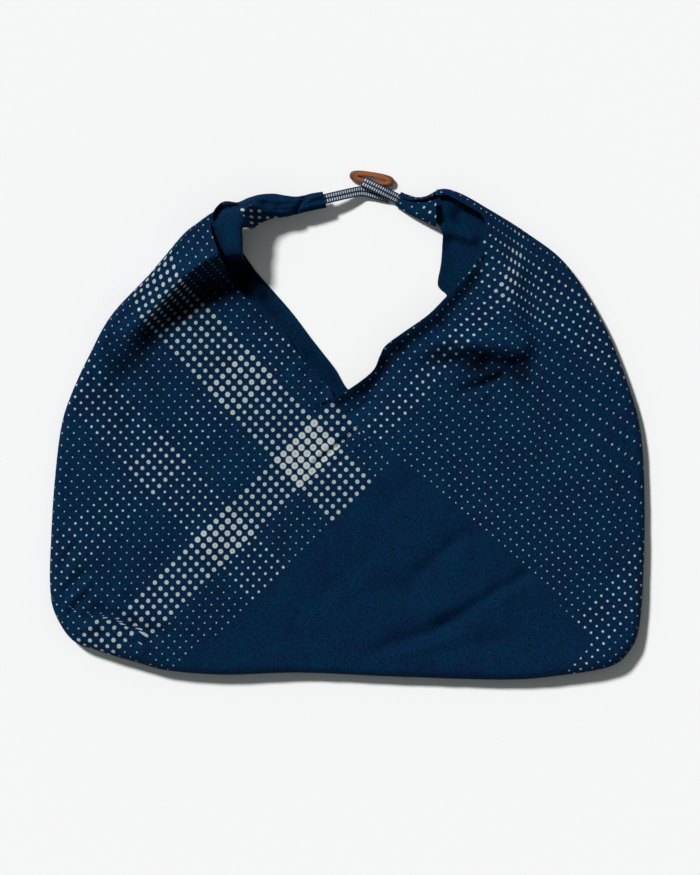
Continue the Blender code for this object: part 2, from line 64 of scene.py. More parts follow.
# The outer fold, from the left horn along the bottom to the right horn: x, y, radius, height.
OUTER_FOLD = (
    (-130, 214.6, 2.2, 24), (-138, 209.6, 2.4, 30), (-150, 200.6, 2.8, 36), (-165, 188, 4, 40),
    (-196.5, 151, 6, 34), (-235, 110, 7, 22), (-257, 71, 7, 16), (-276, 30, 7, 13),
    (-286, -3, 7, 13), (-292.5, -57, 7, 13), (-296, -114, 7, 14), (-297, -160, 7, 15),
    (-292, -188, 7, 18), (-274, -215, 7, 22), (-246, -226, 7, 24), (-204.5, -238.5, 7, 24),
    (-178, -245, 7, 23), (-122.5, -249, 7, 22), (-46.5, -247, 7, 20), (49.5, -251, 7, 20),
    (158.5, -254, 8, 21), (214.5, -249.5, 8, 23), (262, -241, 8, 23), (281, -226, 8, 22),
    (291, -202, 8, 20), (295.5, -145, 8, 18), (296.5, -72, 8, 16), (292.5, -6, 8, 16),
    (279.5, 42, 8, 16), (255.5, 101, 8, 16), (219.5, 159, 7, 16), (178.5, 192, 6, 16),
    (136.5, 218, 3.4, 19), (115, 230, 2.6, 21), (99, 235.5, 2.4, 19), (88.9, 234.6, 2.4, 16),
)

# The front layer's hem, down the mouth's left side to the bottom of the V and up its right: x, y.
LEFT_HEM = (
    (-129, 210.6), (-133, 208), (-136, 202), (-135.6, 193), (-131.5, 181), (-124.5, 163),
    (-112, 141), (-98.5, 125), (-67.5, 99), (-50.5, 73), (-31.5, 49), (-20, 38.5), (-13.5, 27.7),
)
RIGHT_HEM = (
    (-13.5, 27.7), (4.5, 37.5), (25.5, 54), (32.5, 69), (38.5, 79.5), (56.5, 93), (80.5, 110),
    (98.5, 128), (113.5, 144), (124.5, 156), (129.5, 168), (135.5, 185), (138.2, 198),
    (134, 210), (126, 215.5), (109.5, 224.5), (99, 229.8), (89.2, 229.4),
)

# Seams on the front, each from the middle of the bag outwards: x, y.
MIDDLE_SEAM = ((-13.5, 27.7), (10.5, -2), (47.5, -35))
LONG_SEAM = (
    (47.5, -35), (85.5, -68), (124.5, -99.5), (162.5, -132.5), (198.5, -167), (245.5, -212),
)
CORNER_SEAM = ((245.5, -212), (258, -224), (270.8, -237.4))
LEFT_SEAM = ((47.5, -35), (-22, -107), (-96, -180), (-176, -245.2))
WEDGE_SEAM = ((245.5, -212), (238.5, -225), (216, -249.3))

# Heights of the open front cloth, blended by distance: x, y, height of its middle, reach.
FRONT_HEIGHTS = (
    (-145, 120, 12, 45), (-110, 110, 12, 30), (-190, 70, 13, 60), (-200, -20, 16, 70),
    (-210, -150, 20, 70), (-60, 20, 14, 60), (-60, -100, 19, 80), (60, -160, 20, 80),
    (20, 20, 13, 40), (110, 0, 19, 80), (200, -80, 19, 80), (210, 60, 18, 70),
    (150, 130, 17, 50), (130, 195, 18, 30),
    (-80, 108, 5, 11), (-64, 92, 4, 11), (-50, 72, 4, 11), (-36, 54, 4, 10), (-22, 38, 5, 9),
)

# The big folds of the front, ridges (+) and troughs (-): from x, y to x, y, height, half width.
FRONT_FOLDS = (
    (-250, -186, -196, -212, -5, 8), (-244, -172, -188, -198, 3.5, 9),
    (-276, -128, -240, -172, -3, 8), (-262, -118, -226, -164, 2.5, 8),
    (178, -152, 97, -200, -3.5, 10), (97, -200, 37, -226, -3, 10),
    (160, -165, 90, -186, 3, 12), (120, -110, 60, -166, -2.5, 12),
    (84, 62, 140, 62, -6, 9), (140, 62, 179, 54, -7, 9), (92, 84, 174, 78, 8, 11),
    (178, 56, 132, 36, -3.5, 7), (184, 130, 187, 66, -2, 8), (166, 150, 168, 92, 2.5, 9),
    (-258, 96, -216, 4, -3, 13), (-232, 100, -196, 12, 2.5, 14),
    (22, 22, 1, 6, -2.5, 8), (28, 38, 34, 60, -3, 9),
    (200, 160, 226, 100, 2.5, 14), (-120, -60, -160, -190, 2.5, 20),
)

# Finer creases, ridges (+) and troughs (-), in the same columns.
FRONT_CREASES = (
    (-292, -146, -272, -120, -2.4, 4), (-288, -160, -268, -134, 2.2, 4),
    (-289, -172, -262, -148, -2.8, 4), (-283, -182, -258, -158, 2.8, 4),
    (-284, -196, -262, -172, -2.2, 3.5), (-262, -190, -216, -205, -3, 3.5),
    (-256, -199, -206, -213, 2.8, 4), (-250, -206, -210, -221, -2.4, 3.5),
    (-268, -206, -238, -196, 2.4, 4), (-240, -213, -200, -224, 1.8, 3.5),
    (177, -149, 128, -178, -1.4, 5), (182, -158, 132, -187, 1.2, 6),
    (128, -178, 92, -204, -1, 6), (92, -204, 22, -228, -1.6, 7), (98, -212, 30, -236, 1.2, 7),
    (111, -113, 72, -146, -1.2, 6), (118, -121, 78, -154, 0.9, 7), (60, -60, 30, -96, -1, 8),
    (20, -130, -30, -176, -1.4, 10), (0, -180, 60, -150, -1.2, 9), (150, -215, 90, -228, -1.6, 8),
    (8, -6, -32, -39, -2.6, 2.2), (4, -2, -36, -35, 1.6, 3), (24, 24, 0, 10, -2.4, 4),
    (168, 60, 138, 40, -3, 5), (154, 48, 114, 33, -3, 6), (152, 44, 138, 20, -2.6, 5),
    (180, 66, 150, 60, -2.4, 4.5), (128, 72, 92, 60, -2, 5), (118, 90, 84, 66, -1.4, 5),
    (186, 148, 208, 130, -3, 7), (190, 120, 214, 60, 1.2, 9), (206, 110, 236, 60, -1.4, 9),
    (228, -20, 262, 20, -1, 10), (120, -20, 180, -60, -1.2, 12), (30, 6, 8, -22, 1, 5),
    (-240, 92, -214, 40, -1.8, 7), (-226, 96, -200, 50, 1.6, 8), (-262, 60, -240, 10, -1.6, 7),
    (-250, 40, -222, -10, 1.2, 8), (-205, 30, -230, -30, -1, 9), (-120, 60, -90, 20, -0.9, 9),
    (-60, 40, -84, -10, 0.9, 10), (-30, -60, -80, -120, 0.9, 10), (-150, -90, -190, -150, -1.2, 12),
)

# The hem to the right of the V is turned up into a ridge with a trough inside it: x, y. Each has a
# height, a place inside the hem and a half width.
RAISED_HEM = (
    (-13, 28), (5, 38), (25, 54), (32, 70), (38, 79), (57, 91.5), (81, 108.5), (99, 127), (124, 155.5),
)
HEM_RIDGE, HEM_TROUGH = (4.2, 0.0, 7.0), (-3.4, 13.0, 8.5)

# The left arm stands up from the bag. Its crest, from the horn to the bag's left side: x, y,
# height and how far the steep side reaches towards the mouth.
ARM_CREST = (
    (-113, 176, 54, 36), (-127, 170, 59, 37), (-146, 159, 61, 36), (-162.6, 148, 60, 35),
    (-178.2, 133, 55, 34), (-198, 113.1, 47, 34), (-215.7, 95.5, 38, 34), (-233.3, 77.8, 28, 34),
    (-249, 62, 20, 32),
)
ARM_RUN_OUT = 12  # points of the crest's line over which it runs out at the bag's side
ARM_FALL = 0.6  # below 1, the steep side falls early, close to the crest

# Painted shade: the cloth's colour is darkened deep in the folds, under the strap and beside the
# mouth's hems, where little light comes: from x, y to x, y, share of the light kept out, half width.
PAINTED_FOLD_SHADE = (
    (-108, 140, -136, 134, 0.62, 16), (-138, 133, -168, 117, 0.5, 15), (-170, 115, -200, 90, 0.42, 12),
    (-203, 87, -224, 60, 0.38, 12), (-224, 60, -250, 26, 0.25, 11), (-208, 20, -240, 0, 0.18, 6),
    (-101, 150, -86, 132, 0.6, 11), (-112, 164, -100, 158, 0.3, 8),
    (-84, 128, -73, 113, 0.25, 6), (-73, 113, -40, 71, 0.2, 6), (-40, 71, -12, 44, 0.32, 7),
    (-8, 26, 14, 36, 0.3, 6), (14, 36, 36, 62, 0.38, 7), (36, 62, 52, 78, 0.4, 8),
    (52, 79, 91, 102, 0.36, 9), (93, 104, 124, 146, 0.3, 8), (96, 66, 130, 62, 0.3, 10),
    (128, 60, 174, 54, 0.5, 14), (168, 50, 176, 46, 0.25, 7), (114, 37, 150, 50, 0.3, 5),
    (138, 28, 152, 37, 0.28, 4),
)
# The darkest that the painted shade makes the colour.
DEEPEST_PAINTED_SHADE = 0.85  # the most that is kept out

# The back layer's own edges where it isn't under the outer fold: x, y, height of its middle.
BACK_LEFT_TOP = ((-134.5, 202, 0.75), (-128, 188, 0.75), (-117, 179, 0.75), (-105, 173, 0.75))
BACK_MOUTH = (
    (-105, 173, 0.75), (-97, 161.5, 0.75), (-88.8, 150.5, 0.75), (-57.5, 115, 0.75),
    (-35.5, 86, 0.75), (-13.5, 58, 0.75), (4.5, 34, 0.75), (34, 52, 0.75), (66, 84, 0.75),
    (99, 124, 0.75), (90.5, 140, 0.75), (93.5, 161, 2.5), (95.5, 187, 6), (93.5, 195, 7.5),
    (90, 202, 7.5), (84, 206, 7.5), (83, 221, 8), (85, 228, 8.5), (90, 231, 9),
)
BACK_RISE = ((95, 225, 8.5, 26), (128, 208, 4.0, 20))  # x, y, height, reach of the right arm's lift
BACK_CLEAR = 0.6  # gap between the back layer and the lips of the front's outer fold
MOUTH_EASE = 8.0  # how far in from its own edges the back layer takes on their height
# Creases of the back layer's inner face beside the right arm, in the columns of the front's folds.
BACK_CREASES = (
    (96, 196, 124, 187, 6, 5.5), (102, 180, 133, 169, -5, 6), (96, 214, 112, 208, 1.5, 5),
    (114, 210, 138, 194, -7, 8), (99, 160, 120, 150, 2, 7),
)

# Sections of the sleeves: x and y of the crown, its height, reach to the left and right of the run,
# half height, the angles where the wrap starts and ends (0 right, 90 up, 180 left), the heading,
# and how round the right side is: 2 for an ellipse, 1 for a straight slope.
LEFT_SLEEVE = (
    (-106, 151.2, 2.9, 12, 9, 0.01, 180, 0, 90, 2),
    (-106.5, 160.5, 5, 14.5, 5, 2.5, 178, 0, 90, 2),
    (-106.5, 164.5, 30, 17, 3.2, 17, 178, -3, 90, 2),
    (-106.5, 168.5, 48, 20, 2, 30, 178, -5, 90, 2),
    (-106.5, 176, 52, 22.5, 1.4, 34, 178, -8, 90, 2),
    (-106.5, 188, 52.5, 26, 1.2, 34, 170, -10, 88, 2),
    (-106.8, 196, 52.5, 29, 1.4, 24, 165, -10, 80, 2),
    (-106.5, 200, 52, 30, 6.5, 20, 165, -12, 66, 1.8),
    (-105.5, 204.5, 51, 26, 13, 22, 165, -12, 48, 1.5),
    (-103, 209.5, 49, 14, 15.5, 28, 172, -12, 30, 1.2),
    (-96, 217, 45, 10, 18.5, 30, 190, -12, 12, 1.1),
    (-86, 216, 39, 14, 13, 24, 200, -14, 2, 1.2),
    (-74, 215.5, 32, 15, 8.5, 16, 202, -16, -3, 1.5),
    (-62, 216.5, 28, 12, 8, 11, 204, -18, 2, 2),
    (-49, 219.8, 25, 7.6, 7.8, 7.5, 204, -20, 8, 2),
    (-34, 223.5, 22.5, 7, 8, 5.5, 206, -22, 12, 2),
    (-23, 225.3, 20.5, 6.9, 7.5, 4.2, 208, -24, 14, 2),
)
RIGHT_SLEEVE = (
    (50.8, 226.5, 7.6, 6.6, 6.6, 3.1, 455, 103, -22, 2),
    (59, 222.3, 9.5, 7.6, 7.6, 4.2, 464, 116, -24, 2),
    (67, 218.8, 12.5, 8.8, 8.8, 5.7, 474, 134, -16, 2),
    (77.5, 216.4, 16.5, 12, 12, 7.7, 480, 146, -6, 2),
    (88.6, 216, 19.5, 17.6, 17.6, 9.2, 482, 150, 0, 2),
)
# Folds of the left sleeve, in the columns of the front's folds.
LEFT_SLEEVE_FOLDS = (
    (-131, 205, -126, 215, -12, 3.2), (-126, 215, -109, 217.4, -12, 3),
    (-132, 207, -131, 194, -4, 2.4), (-94, 224, -82, 220, -6, 5),
    (-82, 220, -70, 217, -4, 5), (-42, 227, -52, 213, -4.5, 2.6),
    (-60, 226, -72, 222, 2, 4), (-38, 222, -25, 225, -1.6, 1.6),
    (-36, 226, -25, 229, 1.2, 1.6), (-40, 218, -24, 221.5, 1.2, 1.4),
)
# Gathers of each sleeve: how many go round the wrap, how deep they are beside its reach at the
# sleeve's start and at its end, and the power of the place along it that leads from one to the other.
LEFT_GATHERS, RIGHT_GATHERS = (11, 0.01, 0.08, 4), (8, 0.05, 0.0, 1)
GATHER_UNEVEN, GATHER_TWIST = 0.7, 0.03  # how unevenly they stand, and how far they turn along it
# The dotted cloth seen under the left sleeve: x, width. It begins where the strap, which comes up
# from the bag, heads within so many degrees of the right.
DOTTED_UNDER = ((-106, 46), (-96, 38), (-85, 25), (-74, 13), (-64, 5), (-58, 0))
UNDER_HEADING = 36
STRAP_TURN = 196.0  # place in y where the strap turns to the right
SLEEVE_STEEP = 1.5  # how much longer the sleeve's sides are than their plan

# The left tape: x, y, height of its middle and heading. The right tape: run and height.
TAPE_WIDTH = 10.0
LEFT_TAPE = (
    (-28, 224.4, 17.3, 13), (-20, 226.3, 16.9, 13), (-8, 229.2, 14.6, 13), (4, 232.1, 10.8, 13),
    (14, 233.9, 6.8, 6), (24, 232.2, 4.8, -12), (34, 229.4, 3.4, -13), (42, 227.4, 2.4, -13),
)
RIGHT_TAPE_FOOT = (56.0, 223.8)
RIGHT_TAPE_HEADING = 154.0
RIGHT_TAPE = (
    (0, 4.5), (6, 4.7), (13, 6.8), (21, 10.4), (29, 12.2), (35, 12.7), (40, 12.5),
    (43.4, 11.7), (44.3, 10.4), (43.4, 9.1), (40, 8.5), (36, 8.4), (32, 8.4),
)

# The dots stand in a square lattice along the threads, which run at 45 degrees to the bag.
# Broad bands of columns and of rows have larger dots: place of the band's middle along the
# threads, number of columns or rows, and how much wider their dots are.
COLUMN_PITCH, ROW_PITCH = 8.15, 8.65
BASE_DOT = 1.24  # width of the dots outside the bands
CROSSING_DOT = 0.4  # how much wider still the dots are where two bands cross
DOT_UNEVEN = 0.22  # the range of one dot's width beside the next one's
DOT_RAGGED = 0.9  # how uneven a dot's edge is
DOT_EDGE = 1.3  # how fast the dye takes over at a dot's edge
SPECKED_DOT = 3.4  # wider dots than this have a dark speck in their middle
SPECK_HALF, SPECK_SHARP, SPECK_SHARE = 0.93, 1.4, 0.6  # its half width, sharpness and strength
LEFT_COLUMNS = ((-8.4, 5, 2.6), (-106.3, 5, 0.7))
LEFT_ROWS = ((49.3, 7, 2.5), (165.4, 6, 1.1))
RIGHT_COLUMNS = ((24.2, 3, 1.2), (319.4, 5, 0.9))
RIGHT_ROWS = ((-226.35, 6, 1.0),)
UNDER_COLUMNS, UNDER_ROWS = ((100.0, 41, 1.9),), ((311.0, 41, 0.0),)  # one band all over

# How the threads lie where the cloth leans, or where a pleat or tuck takes it up.
ROW_LEAN = 0.03  # how much the left panel's rows lean away from its columns
CORNER_PLEAT = ((-285, -178), (-262, -187), (-236, -192), (-200, -207), (-180, -216))
PLEAT_TAKEN = 13.0  # cloth that the pleat at the bag's lower left corner hides
PLEAT_WIDE = (-1.0, 3.0)  # the pleat's two sides, from its line
PLEAT_END = (-214.0, -196.0)  # it runs out between these places in x
LAP, LAP_AT = 1.7, 11.0  # cloth taken up where the left panel's big dots meet the seam's strip
ARM_FOOT = 10.0  # height of the cloth at the foot of the left arm's steep side
ARM_LEAN = 0.49  # how far the cross threads lean beyond the arm's crest
ARM_LEAN_SOFT, ARM_LEAN_FROM = 3.0, 20  # how softly they do, and from which point of its line on
RIGHT_TURN = 3.8  # degrees by which the right panel's threads lean away from the seam's end
RIGHT_TURN_AT = (24.0, -36.0)
RIGHT_TURN_WHOLE = (20.0, 80.0)  # how far from there the lean begins and is whole
# The tuck that runs down the right horn takes up more cloth towards the horn's top.
HORN_TUCK = ((152, 216), (159, 198), (168, 168), (174, 140), (178, 114), (182, 68), (186, 0))
HORN_FROM, HORN_SOFT = -110.0, 30.0  # where it begins across the threads, and how softly
HORN_TAKEN, HORN_HALF = 0.23, 20.0  # cloth taken up for each millimetre above, and half its width
HORN_SLANT, HORN_MIDDLE = 0.13, 57.0  # how much the cross threads slant beside it, and about where
HORN_WHOLE, HORN_SHIFT = (20.0, 90.0), 5.0  # how far above its start they do so, and their shift

# The hems: how far in their stitches run, the stitches' spacing, half width and sharpness, and how
# wide the pale edge is.
HEM_SEEN = 12.0  # how far from a hem both are looked for
STITCH_IN, STITCH_STEP, STITCH_HALF, STITCH_SHARP = 6.5, 3.2, 0.46, 2.4
PALE_EDGE_WIDTH = 1.25
STITCH_SHADE, PALE_EDGE_SHADE = -0.45, 0.35  # how much darker the stitches are, and paler the hem's edge

# The weave: spacing of its threads, how much its crossings and slubs stand out, and the slubs' size
# across and along a thread.
WARP_STEP, WEFT_STEP = 0.62, 0.70
CROSSING_BUMP, SLUB_BUMP, WEAVE_DEPTH = 0.22, 0.9, 0.0012
SLUBS_ALONG_WARP, SLUBS_ALONG_WEFT = (0.09, 1.3), (1.1, 0.08)
# The dye's unevenness: scale of the noise and how strongly it acts.
TEAL_SHARE = 0.65  # share of teal where all is even
PATCHES, BLOTCHES = (0.03, 2.6), (0.11, 1.4)  # from teal to navy
SPECKS, GRAIN = (0.42, 1.9), (1.3, 4.4)  # from pale to dark
SLUB_SHADE, DARKEST = 0.9, 0.35
INDIGO = (0.0010, 0.0205, 0.0545)  # where the dye leans to teal
DEEP_INDIGO = (0.0028, 0.0136, 0.0475)  # and to navy
DOT_WHITE, DOT_SPECK = (0.48, 0.53, 0.525), (0.20, 0.25, 0.26)

BAR_PITCH = 2.45  # the tape's white bars: spacing along it
BAR_MIDDLE, BAR_HALF = 2.25, 1.45  # each row's place beside the tape's middle, and half its width
BAR_SHARP, BAR_DEPTH = 2.6, 0.0009
TAPE_RIB, RIB_SHADE = 0.5, 0.06  # spacing of the tape's ribs, and their shade
TAPE_WHITE, TAPE_NAVY = (0.50, 0.56, 0.62), (0.012, 0.026, 0.055)

# The toggle's middle, the degrees it is turned by and half its length and width, in metres.
TOGGLE_AT, TOGGLE_TURN, TOGGLE_HALF = (0.0244, 0.2468), -9.0, (0.0226, 0.0065)
WOOD_DARK, WOOD_LIGHT = (0.11, 0.028, 0.008), (0.52, 0.150, 0.032)
WOOD_PORE, WOOD_RIM = (0.10, 0.028, 0.010), (0.07, 0.022, 0.010)
RIM_POWER = 2.8  # 2 would make the dark rim an ellipse, and more than that makes it squarer
WOOD_GRAIN, WOOD_PORES = (60, 900), (260, 2600)  # lines in a metre, along the bar and across it

# The light, and the view from straight above, in metres.
LIGHT_LEAN = (0.62, -0.66)  # how far a shadow falls in x and y for each unit of height
WINDOW_LIGHT, WINDOW_WIDTH = 3.55, 8.0  # strength, and degrees across
ROOM_LIGHT, ROOM_COLOUR = 0.16, (0.93, 1.0, 0.97)
PAPER = (0.93, 0.925, 0.93)
VIEW_CENTRE, VIEW_TALL = (0.0025, -0.0125), 0.875
LENS, SENSOR = 200.0, 36.0
BAG_MIDDLE = 0.010  # the height at which the view is that tall
# fmt: on


# ---------------------------------------------------------------- laying out the cloth


def run_along(points):
    """How far along the line of points each of them is."""
    return np.append(0, np.cumsum(np.hypot.reduce(np.diff(points, axis=0), axis=1)))


def through(rows, step):
    """A smooth curve through the rows (Catmull-Rom), sampled at about this step in x and y."""
    rows = np.asarray(rows, float)
    padded = np.vstack((2 * rows[0] - rows[1], rows, 2 * rows[-1] - rows[-2]))
    dense = []
    for i in range(1, len(padded) - 2):
        a, b, c, d = padded[i - 1 : i + 3]
        for t in np.linspace(0, 1, 12, endpoint=False):
            dense.append(
                0.5 * (2 * b + (c - a) * t + (2 * a - 5 * b + 4 * c - d) * t**2
                       + (3 * b - a - 3 * c + d) * t**3)
            )  # fmt: skip
    dense.append(rows[-1])
    dense = np.array(dense)
    length = run_along(dense[:, :2])
    count = max(2, round(length[-1] / step) + 1)
    wanted = np.linspace(0, length[-1], count)
    return np.stack([np.interp(wanted, length, column) for column in dense.T], axis=1)


def eased(value, start, end):
    """0 up to the start, 1 from the end on, and a soft step between them."""
    share = np.clip((value - start) / (end - start), 0, 1)
    return share * share * (3 - 2 * share)


class Beside:
    """Where points lie beside a line: distance (+ to its left), foot on it and place along it."""

    def __init__(self, points, line):
        points, line = np.asarray(points, float)[:, :2], np.asarray(line, float)[:, :2]
        some = np.array_split(points, len(points) // 1500 + 1)
        near = [((part[:, None] - line[None]) ** 2).sum(2).argmin(axis=1) for part in some]
        near = np.concatenate(near)
        best = np.full(len(points), np.inf)
        self.foot, self.along = np.zeros_like(points), np.zeros(len(points))
        self.distance, normal = np.zeros(len(points)), np.zeros_like(points)
        for first in (near - 1, near):
            first = np.clip(first, 0, len(line) - 2)
            a, run = line[first], line[first + 1] - line[first]
            t = np.clip(((points - a) * run).sum(1) / (run**2).sum(1), 0, 1)
            gap = points - a - t[:, None] * run
            away = np.hypot(*gap.T)
            left = np.column_stack((-run[:, 1], run[:, 0])) / np.hypot(*run.T)[:, None]
            use = away < best
            best[use] = away[use]
            self.foot[use] = (points - gap)[use]
            self.along[use] = (first + t)[use]
            self.distance[use] = (away * np.where((gap * left).sum(1) < 0, -1, 1))[use]
            normal[use] = left[use]
        on_line = np.abs(self.distance) < 1e-6
        toward = (points - self.foot) / np.where(on_line, 1, self.distance)[:, None]
        self.inward = np.where(on_line[:, None], normal, toward)

    def at(self, distance):
        return self.foot + self.inward * distance[:, None]


FOLD_LINE = through(OUTER_FOLD, FOLD_STEP)
ARM_LINE = through(ARM_CREST, ARM_STEP)


def arm_size(arm):
    """Height of the left arm's crest, and the width of its steep side, beside each point."""
    steps = np.arange(len(ARM_LINE))
    return [np.interp(arm.along, steps, ARM_LINE[:, column]) for column in (2, 3)]


def stepped(share):
    """How far down the steep side is: 0 at the crest, 1 at its foot."""
    return eased(np.clip(share, 0, 1) ** ARM_FALL, 0, 1)


def arm_ends(arm):
    """1 along the arm's crest, and 0 where it runs out at the bag's left side."""
    return np.clip((len(ARM_LINE) - 1 - arm.along) / ARM_RUN_OUT, 0, 1)


def arm_cloth(arm):
    """How much longer the cloth is than its plan, from the steep side's foot up to each point."""
    crest, width = arm_size(arm)
    drop = np.maximum(crest - ARM_FOOT, 0)
    reach = np.clip(arm.distance / width, 0, 1)
    steps = np.linspace(0, 1, 25)
    length = np.zeros(len(reach))
    for near, far in zip(steps, steps[1:]):
        at = [1 - (1 - reach) * (1 - share) for share in (near, far)]
        fall = drop * (stepped(at[1]) - stepped(at[0]))
        length += np.hypot(fall, width * (at[1] - at[0]))
    return (length - width * (1 - reach)) * arm_ends(arm)


class Fold(Beside):
    """Where points lie beside the outer fold, with the fold's own size there."""

    def __init__(self, points):
        super().__init__(points, FOLD_LINE)
        steps = np.arange(len(FOLD_LINE))
        self.radius = np.interp(self.along, steps, FOLD_LINE[:, 2])
        self.rise = np.interp(self.along, steps, FOLD_LINE[:, 3])
        self.quarter = math.pi / 4 * (self.radius + self.rise / 2)  # length of a quarter turn


def to_cloth(points):
    """Plan points of the bag, moved to where they are on the cloth before its edge is rolled."""
    fold = Fold(points)
    d, r, q = fold.distance, fold.radius, fold.quarter
    rolled = q * np.arccos(np.clip(1 - d / r, 0, 1)) / (math.pi / 2)
    open_cloth = q + (d - r) * (BLEND - q) / (BLEND - r)
    return fold.at(np.where(d < r, rolled, np.where(d < BLEND, open_cloth, d)))


def folded(plan, rows):
    """How much the ridges and troughs in the rows raise each point."""
    z = np.zeros(len(plan))
    for x0, y0, x1, y1, height, half_width in rows:
        a, run = np.array((x0, y0)), np.array((x1 - x0, y1 - y0))
        t = np.clip(((plan - a) * run).sum(1) / (run**2).sum(), 0, 1)
        away2 = ((plan - a - t[:, None] * run) ** 2).sum(1) / half_width**2
        z += height * np.exp(-away2)
    return z


def raised_hem(plan):
    """How much the ridge and trough along the right hem raise each point."""
    inside_by = -Beside(plan, through(RAISED_HEM, FOLD_STEP)).distance
    return sum(
        height * np.exp(-(((inside_by - place) / half_width) ** 2))
        for height, place, half_width in (HEM_RIDGE, HEM_TROUGH)
    )


def hill(plan, x, y, reach):
    """1 at the place, and hardly anything beyond its reach."""
    return np.exp(-((plan[:, 0] - x) ** 2 + (plan[:, 1] - y) ** 2) / reach**2)


def open_height(plan):
    """Height of the front cloth's middle away from the outer fold."""
    total, weight = np.zeros(len(plan)), np.zeros(len(plan))
    for x, y, height, reach in FRONT_HEIGHTS:
        share = hill(plan, x, y, reach) + 1e-4
        total += share * height
        weight += share
    z = total / weight + folded(plan, FRONT_FOLDS)
    arm = Beside(plan, ARM_LINE)
    crest, width = arm_size(arm)
    standing = 1 - stepped(arm.distance / width)
    return z + np.maximum(crest - z, 0) * standing * arm_ends(arm)


def draped(cloth):
    """Flat cloth points, rolled round the outer fold and lifted to the front layer's height.

    Also gives where they lie when only the roll is opened out, which the threads follow.
    """
    fold = Fold(cloth)
    q, r, quarter = fold.distance, fold.radius, fold.quarter
    angle = np.clip(q / quarter, -1, 1) * math.pi / 2
    beyond = np.abs(q) - quarter
    flat = np.where(q > 0, r + beyond * (BLEND - r) / (BLEND - quarter), r + beyond)
    inwards = np.where(np.abs(q) < quarter, r * (1 - np.cos(angle)), flat)
    inwards = np.where(q > BLEND, q, inwards)
    plan = fold.at(inwards)
    z = CLOTH / 2 + 0.1 + fold.rise / 2 * (1 + np.sin(angle))
    beyond_roll = q > quarter
    z += eased(inwards, r, BLEND) * beyond_roll * (open_height(plan) - z)
    creased = folded(plan, FRONT_CREASES) + raised_hem(plan)
    z += creased * eased(inwards, r, r + CREASE_FROM) * beyond_roll
    opened = fold.at(np.where(beyond_roll, inwards, r + q - quarter))
    return np.column_stack((plan, z)), opened


def fold_place(point):
    """Which point of the outer fold's line lies nearest this one."""
    return int(((FOLD_LINE[:, :2] - np.array(point[:2])) ** 2).sum(1).argmin())


def towards_lip(point):
    """Points from the outer fold nearest this one to the end of its lip, on the flat cloth."""
    fold = Fold([point[:2]])
    end = -(fold.quarter + LIP * fold.radius)[0]
    count = max(4, round(-end / EDGE_STEP))
    return np.vstack([fold.at(np.array([q])) for q in np.linspace(0, end, count)])


def lip_run(start, end):
    """The end of the lip along the outer fold, between the places nearest start and end."""
    first, last = fold_place(start), fold_place(end)
    line = FOLD_LINE[min(first, last) : max(first, last) + 1]
    line = line if first < last else line[::-1]
    fold = Fold(line[2:-2])
    return fold.at(-(fold.quarter + LIP * fold.radius))


def inside(points, loop):
    """Which points lie inside the closed loop."""
    x, y = points.T
    hits = np.zeros(len(points), bool)
    for (x0, y0), (x1, y1) in zip(loop, np.roll(loop, -1, axis=0)):
        if y0 != y1:
            crosses = (y0 > y) != (y1 > y)
            hits ^= crosses & (x < (x1 - x0) * (y - y0) / (y1 - y0) + x0)
    return hits


def filled(loop, cell):
    """Triangles that fill the loop, with a regular field of points inside it."""
    loop = np.asarray(loop)
    low, high = loop.min(axis=0), loop.max(axis=0)
    rows = np.arange(low[1], high[1], cell * 0.866)
    field = [
        (x, y)
        for i, y in enumerate(rows)
        for x in np.arange(low[0] + i % 2 * cell / 2, high[0], cell)
    ]
    field = np.array(field)
    field = field[inside(field, loop)]
    closed = np.vstack((loop, loop[:1]))
    field = field[np.abs(Beside(field, closed).distance) > cell * 0.5]
    points = np.vstack((loop, field))
    edges = [(i, (i + 1) % len(loop)) for i in range(len(loop))]
    verts, _, faces, *_ = delaunay_2d_cdt([tuple(p) for p in points], edges, [], 1, 1e-5)
    return np.array([tuple(v) for v in verts]), [tuple(f) for f in faces]


def grid(rows, across):
    """Faces between points that lie in rows with so many points across."""
    corners = (0, 1, 1 + across, across)
    starts = (i * across + j for i in range(rows - 1) for j in range(across - 1))
    return [tuple(start + corner for corner in corners) for start in starts]


def ripples(points, size, seed):
    """A smooth uneven height between about -1 and 1, with bumps of about this size."""
    rng = np.random.default_rng(seed)
    total = np.zeros(len(points))
    for _ in range(9):
        direction = rng.uniform(0, 2 * math.pi)
        wave = 2 * math.pi / (size * rng.uniform(1.4, 3.2))
        phase = rng.uniform(0, 2 * math.pi)
        along = points[:, 0] * math.cos(direction) + points[:, 1] * math.sin(direction)
        bend = 0.6 * np.sin(0.37 * wave * (points[:, 1] * math.cos(direction) - points[:, 0]) + phase)
        total += np.sin(wave * along + phase + bend)
    return total / 4.5


# ---------------------------------------------------------------- making the sheets


